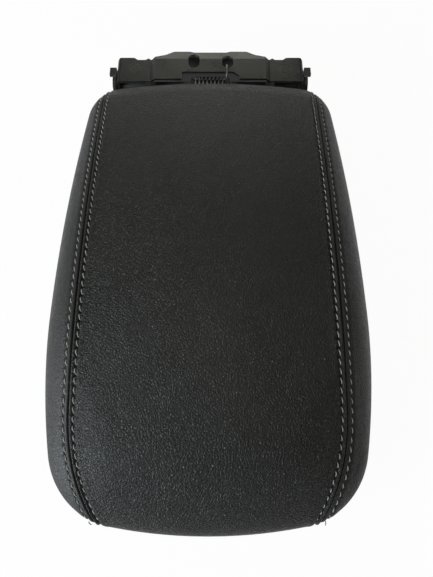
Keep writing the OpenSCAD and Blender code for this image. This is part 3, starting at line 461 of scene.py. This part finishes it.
def moulded(name, tone, rough, texture=0.00006, scale=1500.0):
    """Moulded plastic: a fine spark-eroded texture, slight shine changes, flow marks."""
    mat, nt, bsdf, coord = new_mat(name)
    tex = noise(nt, coord, scale, 3.0, 0.7).outputs["Fac"]
    cells = voronoi(nt, coord, scale * 0.7).outputs["Distance"]
    flow = noise(nt, coord, 30.0, 3.0).outputs["Fac"]
    colour = mix_color(nt, remap(nt, flow, 0.3, 0.7), shade(tone, 0.85), shade(tone, 1.15))
    nt.links.new(colour, bsdf.inputs["Base Color"])
    nt.links.new(remap(nt, flow, 0.3, 0.7, rough - 0.04, rough + 0.06), bsdf.inputs["Roughness"])
    bsdf.inputs["Specular IOR Level"].default_value = 0.4
    height = math_node(nt, "MULTIPLY_ADD", cells, 0.5, tex)
    nt.links.new(bump(nt, height, texture), bsdf.inputs["Normal"])
    return mat


def rubbery(name, tone, rough=0.75):
    """Rubber: matt, with bloom and a faint moulding texture."""
    mat, nt, bsdf, coord = new_mat(name)
    bloom = noise(nt, coord, 160.0, 4.0, 0.65).outputs["Fac"]
    tex = noise(nt, coord, 2200.0, 2.0).outputs["Fac"]
    grey = tuple(c * 1.7 + 0.01 for c in tone)
    colour = mix_color(nt, remap(nt, bloom, 0.45, 0.75), tone, grey)
    nt.links.new(colour, bsdf.inputs["Base Color"])
    nt.links.new(remap(nt, bloom, 0.3, 0.7, rough - 0.05, rough + 0.08), bsdf.inputs["Roughness"])
    bsdf.inputs["Specular IOR Level"].default_value = 0.3
    nt.links.new(bump(nt, tex, 0.00005), bsdf.inputs["Normal"])
    return mat


def foamed(name, tone):
    """Moulded foam: open cells under a thin skin, with painted shade in the cells."""
    mat, nt, bsdf, coord = new_mat(name)
    cells = voronoi(nt, coord, 1300.0).outputs["Distance"]
    mottle = noise(nt, coord, 90.0, 3.0).outputs["Fac"]
    colour = mix_color(nt, remap(nt, mottle, 0.3, 0.7), tone, shade(tone, 0.8))
    # painted shade: the middles of the cells, the dents of the bump, are darkened
    colour = mix_color(nt, remap(nt, cells, 0.0, 0.3, 0.5, 0.0), colour, shade(tone, 0.4))
    nt.links.new(colour, bsdf.inputs["Base Color"])
    nt.links.new(remap(nt, mottle, 0.3, 0.7, 0.85, 0.95), bsdf.inputs["Roughness"])
    nt.links.new(bump(nt, cells, 0.0003), bsdf.inputs["Normal"])
    return mat


def threaded(name, tone):
    """Sewing thread: two plies of fine fibres."""
    mat, nt, bsdf, coord = new_mat(name)
    fibres = noise(nt, coord, 4200.0, 3.0, 0.7).outputs["Fac"]
    soil = noise(nt, coord, 70.0, 3.0).outputs["Fac"]
    colour = mix_color(nt, remap(nt, fibres, 0.3, 0.7), shade(tone, 0.7), shade(tone, 1.2))
    colour = mix_color(nt, remap(nt, soil, 0.4, 0.75, 0.0, 0.5), colour, shade(tone, 0.5))
    nt.links.new(colour, bsdf.inputs["Base Color"])
    nt.links.new(remap(nt, fibres, 0.3, 0.7, 0.55, 0.75), bsdf.inputs["Roughness"])
    bsdf.inputs["Specular IOR Level"].default_value = 0.35
    nt.links.new(bump(nt, fibres, 0.0001), bsdf.inputs["Normal"])
    return mat


CENTRE_LEATHER = leather("leather_centre", (0.0125, 0.0125, 0.0115), 0.0015, 0.00024, 0.32, 0.32, 0.14)
SIDE_LEATHER = leather("leather_side", (0.0150, 0.0150, 0.0145), 0.0014, 0.00010, 0.42, 0.36, 0.05)
THREAD = threaded("thread_grey", (0.33, 0.33, 0.32))
FOAM = foamed("foam", (0.62, 0.57, 0.44))
BRACKET = painted("bracket_coat", (0.0105, 0.011, 0.009), 0.30, 0.45, 0.00006, edge_highlight=0.30)
ARM = painted("arm_coat", (0.009, 0.009, 0.008), 0.42, 0.35, 0.00006, edge_highlight=0.2)
PIN = painted("pin_oxide", (0.05, 0.05, 0.048), 0.38, 0.5, 0.00003)
SCREW = painted("screw_oxide", (0.03, 0.03, 0.03), 0.4, 0.5, 0.00003)
CLIP = painted("clip_phosphate", (0.06, 0.06, 0.058), 0.5, 0.4, 0.00004)
ZINC = bare_metal("zinc", (0.60, 0.59, 0.55), 0.34)
WIRE = bare_metal("spring_wire", (0.22, 0.215, 0.20), 0.42, (0.3, 1.0, 1.0))
# black plastic, with painted shade: the carrier is toned darker than its own colour, as shade in the
# hollow under the lid
CARRIER_PAINTED_SHADE = moulded("carrier_plastic", (0.012, 0.012, 0.012), 0.55)
PANEL = moulded("panel_plastic", (0.028, 0.028, 0.029), 0.5, 0.00010, 1100.0)
LATCH = moulded("latch_plastic", (0.024, 0.024, 0.025), 0.42, 0.00004)
BUSH = moulded("bush_plastic", (0.06, 0.06, 0.058), 0.45, 0.00003)
# black plastic, with painted shade: the spool is toned darker than its own colour, as shade inside the
# bracket
SPOOL_PAINTED_SHADE = moulded("spool_plastic", (0.009, 0.009, 0.009), 0.6, 0.00004)
BUFFER = rubbery("buffer_rubber", (0.018, 0.018, 0.018))
# black rubber, with painted shade: darker than the other buffers so the gap between the leather and the
# bracket reads as shade
STOP_PAINTED_SHADE = rubbery("stop_rubber", (0.010, 0.010, 0.010), 0.75)

CAD_MATERIALS = {
    "lid_carrier": CARRIER_PAINTED_SHADE, "cover_staples": ZINC, "inner_panel": PANEL,
    "inner_panel_screws": SCREW, "buffer_front_left": BUFFER, "buffer_front_right": BUFFER,
    "buffer_rear_left": BUFFER, "buffer_rear_right": BUFFER, "latch_bezel": PANEL,
    "latch_lever": LATCH, "latch_pin": ZINC, "latch_spring": WIRE, "hinge_arm_left": ARM,
    "hinge_arm_right": ARM, "arm_screws": ZINC, "stop_buffer_left": STOP_PAINTED_SHADE,
    "stop_buffer_right": STOP_PAINTED_SHADE, "hinge_pin": PIN, "pin_clip": CLIP, "bush_left": BUSH,
    "bush_right": BUSH, "spring_spool": SPOOL_PAINTED_SHADE, "console_bracket": BRACKET,
    "weld_stud_left": ZINC, "weld_stud_right": ZINC, "torsion_spring": WIRE,
    "foam_pad": FOAM, "cover_centre_panel": CENTRE_LEATHER, "cover_left_panel": SIDE_LEATHER,
    "cover_right_panel": SIDE_LEATHER}
for node, mat in CAD_MATERIALS.items():
    NODES[node].data.materials.clear()
    NODES[node].data.materials.append(mat)

# Leather panels
# Rows of each panel's mesh along the seam, and its columns as distances from the seam
ROWS = 600
NEAR_SEAM = [0, 0.3, 0.6, 0.9, 1.25, 1.6, 2.0, 2.4, 2.75, 3.1, 3.45, 3.8, 4.3, 4.9, 5.6, 6.5,
             7.6, 9, 11, 13.5]
FAR_FROM_SEAM = [16.5, 20, 25, 31, 38, 46, 55, 65]
# Half the gap between two panels, and how far their lower edges turn up inside
HALF_GAP = 0.05
TURN_UP = 1.4


def seam_counts():
    """Stitches from the rear end of the seam to each row."""
    ys = [SEAM_REAR_Y + (SEAM_FRONT_Y - SEAM_REAR_Y) * k / ROWS for k in range(ROWS + 1)]
    pts = [(seam_x(y), y, top_z(seam_x(y), y)) for y in ys]
    total, out = 0.0, [0.0]
    for a, b in zip(pts, pts[1:]):
        total += math.dist(a, b) / float(np.interp((a[1] + b[1]) / 2 + LID_Y, *PITCH_AT))
        out.append(total)
    return ys, out


SEAM_YS, SEAM_COUNT = seam_counts()


def centre_panel():
    half = [1 - s / SEAM_FRONT for s in NEAR_SEAM + FAR_FROM_SEAM]
    us = [-u for u in half] + [0.0] + half[::-1]
    rows, rise = [], []

    def wall_row(e, z, rear):
        px = on_arc(1, T_REAR, e)[0] if rear else on_arc(4, T_FRONT, e)[0]
        row, up = [], []
        for u in us:
            x = u * (px - HALF_GAP)
            row.append((x, edge_y(x, e, rear), z))
            up.append(sewn((1 - abs(u)) * px, SEAM_COUNT[0] + 0.5 if rear else SEAM_COUNT[-1] + 0.5, True))
        rows.append(row)
        rise.append(up)

    for e, z in reversed(WALL):
        wall_row(e, z, True)
    for k, ys in enumerate(SEAM_YS):
        v = k / ROWS
        row, up = [], []
        for u in us:
            x = u * (seam_x(ys) - HALF_GAP)
            yr = edge_y(u * SEAM_REAR, 0, True)
            yf = edge_y(u * SEAM_FRONT_X, 0, False)
            y = yr + (yf - yr) * v
            row.append((x, y, top_z(x, y)))
            up.append(sewn((1 - abs(u)) * seam_x(ys), SEAM_COUNT[k], True))
        rows.append(row)
        rise.append(up)
    for e, z in WALL:
        wall_row(e, z, False)
    grid = displace(np.array(rows), np.array(rise))
    lift = np.zeros_like(grid[0])
    lift[:, 2] = TURN_UP
    grid = np.concatenate([[grid[0] + lift], grid, [grid[-1] + lift]])
    n, m = grid.shape[:2]
    verts = grid.reshape(-1, 3).tolist()
    return mesh_object("leather_centre_panel", verts, grid_faces(n, m), CENTRE_LEATHER)


def side_angle(y):
    if y > on_arc(1, A_SIDE)[1]:
        return 1, math.asin(min(1, (y - C_RC[1]) / CORNER_R))
    if y > WIDEST_Y:
        return 2, math.asin((y - WIDEST_Y) / SIDE_R)
    if y > on_arc(3, A_HAUNCH)[1]:
        return 3, math.asin((y - WIDEST_Y) / HAUNCH_R)
    return 4, math.asin(max(-1, (y - C_FC[1]) / FRONT_CORNER_R))


def side_panel(sign, name):
    outer_cols = 14
    dense_share = 0.62
    fracs = [k / outer_cols for k in range(1, outer_cols + 1)]
    rows, rise = [], []
    for k, ys in enumerate(SEAM_YS):
        a = seam_x(ys) + HALF_GAP
        b = max(half_width(ys), a + 0.01)
        width = b - a
        near = [s * min(1.0, width * dense_share / NEAR_SEAM[-1]) for s in NEAR_SEAM]
        start = near[-1]
        xs = [a + s for s in near]
        xs += [a + start + (width - start) * math.sin(f * math.pi / 2) for f in fracs]
        row, up = [], []
        arc, t = side_angle(ys)
        for x in xs:
            row.append((x, ys, top_z(x, ys)))
            up.append(sewn(x - a, SEAM_COUNT[k], False))
        for e, z in WALL:
            px, py = on_arc(arc, t, e)
            row.append((px, py, z))
            up.append(0.0)
        rows.append(row)
        rise.append(up)
    grid = displace(np.array(rows), np.array(rise))
    inner = grid[:, -1:, :].copy()
    inner[:, :, 2] += TURN_UP
    grid = np.concatenate([grid, inner], axis=1)
    grid[:, :, 0] *= sign
    n, m = grid.shape[:2]
    verts = grid.reshape(-1, 3).tolist()
    return mesh_object(name, verts, grid_faces(n, m), SIDE_LEATHER, merge=0.000004)


centre = centre_panel()
right_side = side_panel(1, "leather_right_panel")
left_side = side_panel(-1, "leather_left_panel")
for obj, node, slot in ((centre, "cover_centre_panel", "panel_leather"),
                        (right_side, "cover_right_panel", "side_leather"),
                        (left_side, "cover_left_panel", "side_leather")):
    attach(obj, "lid")
    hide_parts(node)


# Stitches
def surface(y, s):
    """Point of the leather at distance s outwards from the right-hand seam, at seam y."""
    h = 0.5
    slope = (seam_x(y + h) - seam_x(y - h)) / (2 * h)
    c = 1 / math.hypot(1, slope)
    px, py = seam_x(y) + s * c, y - s * c * slope
    return Vector((px, py, top_z(px, py)))


def at_count(count):
    """Place on the seam, as y, after that many stitches."""
    return float(np.interp(count, SEAM_COUNT, SEAM_YS))


# One stitch: the share of the pitch that it spans, its thread, and how it rises and slants
STITCH_START = 0.13
STITCH_SPAN = 0.74
THREAD_R = 0.31
THREAD_SIDES = 8
THREAD_RINGS = 9
STITCH_DIP = 1.05
STITCH_RISE = 1.12
STITCH_SLANT = 0.85
STITCH_WOBBLE = 0.10
PLY_SWELL = 0.16


def stitch_axes(y, s):
    """Directions along, across and out of the leather, at a place in a row of stitches."""
    along = (surface(y - 0.3, s) - surface(y + 0.3, s)).normalized()
    up = along.cross(surface(y, s + 0.6) - surface(y, s - 0.6)).normalized()
    if up.z < 0:
        up = -up
    across = up.cross(along).normalized()
    if across.x < 0:
        across = -across
    return across, up


def stitch_row(sign, s, name):
    verts = []
    faces = []
    for i in range(int(SEAM_COUNT[-1])):
        wobble = STITCH_WOBBLE * math.sin(i * 2.4 + s)
        first = len(verts)
        for r in range(THREAD_RINGS):
            f = r / (THREAD_RINGS - 1)
            y = at_count(i + STITCH_START + STITCH_SPAN * f)
            across, up = stitch_axes(y, s)
            height = STITCH_RISE * (1 - abs(2 * f - 1) ** 3) - STITCH_DIP
            slant = sign * (f - 0.5) * STITCH_SLANT + wobble
            middle = surface(y, s) + up * height + across * slant
            for q in range(THREAD_SIDES):
                ang = 2 * math.pi * q / THREAD_SIDES
                radius = THREAD_R * (1 + PLY_SWELL * math.cos(2 * (ang - r * 0.9)))
                v = middle + (across * math.cos(ang) + up * math.sin(ang)) * radius
                verts.append((sign * v.x, v.y, v.z))
        for r in range(THREAD_RINGS - 1):
            for q in range(THREAD_SIDES):
                a0 = first + r * THREAD_SIDES + q
                a1 = first + r * THREAD_SIDES + (q + 1) % THREAD_SIDES
                faces.append((a0, a1, a1 + THREAD_SIDES, a0 + THREAD_SIDES))
    obj = mesh_object(name, verts, faces, THREAD)
    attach(obj, "lid")


for side, sign in (("left", -1), ("right", 1)):
    stitch_row(sign, -STITCH_OFF, f"stitches_{side}_inner")
    stitch_row(sign, STITCH_OFF, f"stitches_{side}_outer")


# Foam
def foam_block():
    """Foam under the leather, at a depth e below its surface, with a flat lower side."""
    rows = 70
    cols = 50
    e = 2.6
    low_z = 24.0
    rear = LID_REAR - e - 0.4
    front = LID_FRONT + e + 0.4
    top = []
    low = []
    for k in range(rows + 1):
        y = rear + (front - rear) * (0.5 - 0.5 * math.cos(math.pi * k / rows))
        for c in range(cols + 1):
            x = -math.cos(math.pi * c / cols) * half_width(y, e)
            top.append((x, y, top_z(x, y, e)))
            low.append((x, y, low_z))
    n = len(top)
    quads = grid_faces(rows + 1, cols + 1)
    faces = quads + [tuple(reversed([i + n for i in q])) for q in quads]
    border = list(range(cols + 1))
    border += [r * (cols + 1) + cols for r in range(1, rows + 1)]
    border += [rows * (cols + 1) + c for c in range(cols - 1, -1, -1)]
    border += [r * (cols + 1) for r in range(rows - 1, 0, -1)]
    for a, b in zip(border, border[1:] + border[:1]):
        faces.append((a, a + n, b + n, b))
    return mesh_object("foam_block", top + low, faces, FOAM, merge=0.000002)


foam = foam_block()
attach(foam, "lid")
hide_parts("foam_pad")


# Torsion spring
AXIS_Y = 158.5
AXIS_Z = 22.5
COIL_R = 5.6
WIRE_R = 0.9


def tube(name, path, radius, sides, mat):
    verts, faces = [], []
    for k, p in enumerate(path):
        a, b = Vector(path[max(0, k - 1)]), Vector(path[min(len(path) - 1, k + 1)])
        t = (b - a).normalized()
        u = (Vector((1, 0, 0)) - t * t.x).normalized()
        w = t.cross(u)
        for q in range(sides):
            ang = 2 * math.pi * q / sides
            verts.append(Vector(p) + (u * math.cos(ang) + w * math.sin(ang)) * radius)
    for k in range(len(path) - 1):
        for q in range(sides):
            a0, a1 = k * sides + q, k * sides + (q + 1) % sides
            faces.append((a0, a1, a1 + sides, a0 + sides))
    faces.append(tuple(range(sides - 1, -1, -1)))
    faces.append(tuple(range((len(path) - 1) * sides, len(path) * sides)))
    return mesh_object(name, verts, faces, mat)


def spring():
    """Coil round the hinge pin, with a leg under the lid and a leg over the bracket."""
    half = 11.8
    pitch = 2.95
    turns = 8
    steps = 40
    leg_z = 11.2
    mid_z = 35.5
    coil_y = AXIS_Y - COIL_R
    lower = [(-half, y, z) for y, z in (
        (117.0, leg_z), (130.0, leg_z), (142.0, leg_z), (coil_y - 5.0, leg_z),
        (coil_y - 2.4, leg_z + 0.3), (coil_y - 0.9, leg_z + 1.6), (coil_y - 0.2, leg_z + 3.8),
        (coil_y, leg_z + 7.0))]
    coil = [(-half + pitch * k / steps, AXIS_Y - COIL_R * math.cos(2 * math.pi * k / steps),
             AXIS_Z + COIL_R * math.sin(2 * math.pi * k / steps)) for k in range(turns * steps + 1)]
    x1 = half + 0.6
    upper_keys = [(half + 0.2, coil_y, AXIS_Z + 2)]
    upper_keys += [(x1, y, z) for y, z in (
        (coil_y + 0.2, AXIS_Z + 5), (coil_y + 0.7, mid_z - 4), (coil_y + 1.3, mid_z - 1.4),
        (coil_y + 2.6, mid_z + 0.7), (coil_y + 4.6, mid_z + 0.95), (163.0, mid_z + 0.95),
        (164.6, mid_z + 0.5), (165.1, mid_z - 1.2), (165.2, mid_z - 4))]
    upper = catmull(upper_keys, 5)
    obj = tube("torsion_spring_wire", lower + coil + upper, WIRE_R, 12, WIRE)
    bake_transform(obj)
    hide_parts("torsion_spring")
    return obj


spring()


# Floor, sky, lamps, camera
def white_backdrop(nt, shader, share):
    """Mixes plain white into a shader for camera, glossy and transmission rays."""
    path = nt.nodes.new("ShaderNodeLightPath")
    glow = nt.nodes.new("ShaderNodeEmission")
    glow.inputs["Color"].default_value = (1, 1, 1, 1)
    glow.inputs["Strength"].default_value = 1.0
    mix = nt.nodes.new("ShaderNodeMixShader")
    seen = math_node(nt, "MAXIMUM", path.outputs["Is Camera Ray"], path.outputs["Is Glossy Ray"])
    seen = math_node(nt, "MAXIMUM", seen, path.outputs["Is Transmission Ray"])
    nt.links.new(math_node(nt, "MULTIPLY", seen, share), mix.inputs[0])
    nt.links.new(shader, mix.inputs[1])
    nt.links.new(glow.outputs[0], mix.inputs[2])
    return mix.outputs[0]


def floor_plane():
    mesh = bpy.data.meshes.new("floor")
    half = 3.0
    low = -0.0002
    corners = [(-half, -half, low), (half, -half, low), (half, half, low), (-half, half, low)]
    mesh.from_pydata(corners, [], [(0, 1, 2, 3)])
    mat, nt, bsdf, coord = new_mat("floor_white")
    speck = noise(nt, coord, 40.0, 2.0).outputs["Fac"]
    nt.links.new(mix_color(nt, speck, (0.86, 0.86, 0.86), (0.90, 0.90, 0.90)), bsdf.inputs["Base Color"])
    bsdf.inputs["Roughness"].default_value = 0.9
    out = nt.nodes["Material Output"]
    nt.links.new(white_backdrop(nt, bsdf.outputs[0], 0.95), out.inputs["Surface"])
    mesh.materials.append(mat)
    obj = link(bpy.data.objects.new("floor", mesh))


def sky():
    world = bpy.data.worlds.new("sky")
    bpy.context.scene.world = world
    world.use_nodes = True
    nt = world.node_tree
    bg = nt.nodes["Background"]
    bg.inputs["Color"].default_value = (1.0, 1.0, 0.97, 1)
    bg.inputs["Strength"].default_value = 0.17


def lamp(name, at, aim, size, power, color):
    data = bpy.data.lights.new(name, "AREA")
    data.shape = "RECTANGLE"
    data.size, data.size_y = size
    data.energy = power
    data.color = color
    obj = link(bpy.data.objects.new(name, data))
    obj.location = at
    obj.rotation_euler = (Vector(aim) - Vector(at)).to_track_quat("-Z", "Y").to_euler()
    return obj


floor_plane()
sky()
AIM = (0, -0.03, 0.03)
lamp("window_left", (-0.991, -0.649, 0.600), AIM, (0.5, 0.5), 12.0, (0.80, 0.92, 1.0))
lamp("window_low", (-1.152, -0.567, 0.300), AIM, (0.8, 0.4), 8.0, (0.93, 0.97, 1.0))
lamp("rear_soft", (0.0, 1.192, 0.475), AIM, (0.6, 0.6), 3.2, (1.0, 0.99, 0.90))
lamp("top_soft", (-0.091, -0.03, 1.327), AIM, (0.6, 0.6), 4.0, (1.0, 0.96, 0.82))

# Camera at the photograph's angle: its focal length in pixels of an image 577 high
FOCAL_PX = 450.0
IMAGE_H = 577.0
SENSOR = 36.0
cam_data = bpy.data.cameras.new("camera")
cam_data.sensor_width = SENSOR
cam_data.lens = FOCAL_PX / IMAGE_H * SENSOR
cam_data.clip_start = 0.01
camera = link(bpy.data.objects.new("camera", cam_data))
camera.location = (0.0047, -0.1215, 0.2957)
camera.rotation_euler = (math.atan2(0.3397, 0.9405), 0.0, 0.0)
bpy.context.scene.camera = camera
bpy.context.scene.view_settings.view_transform = "Standard"
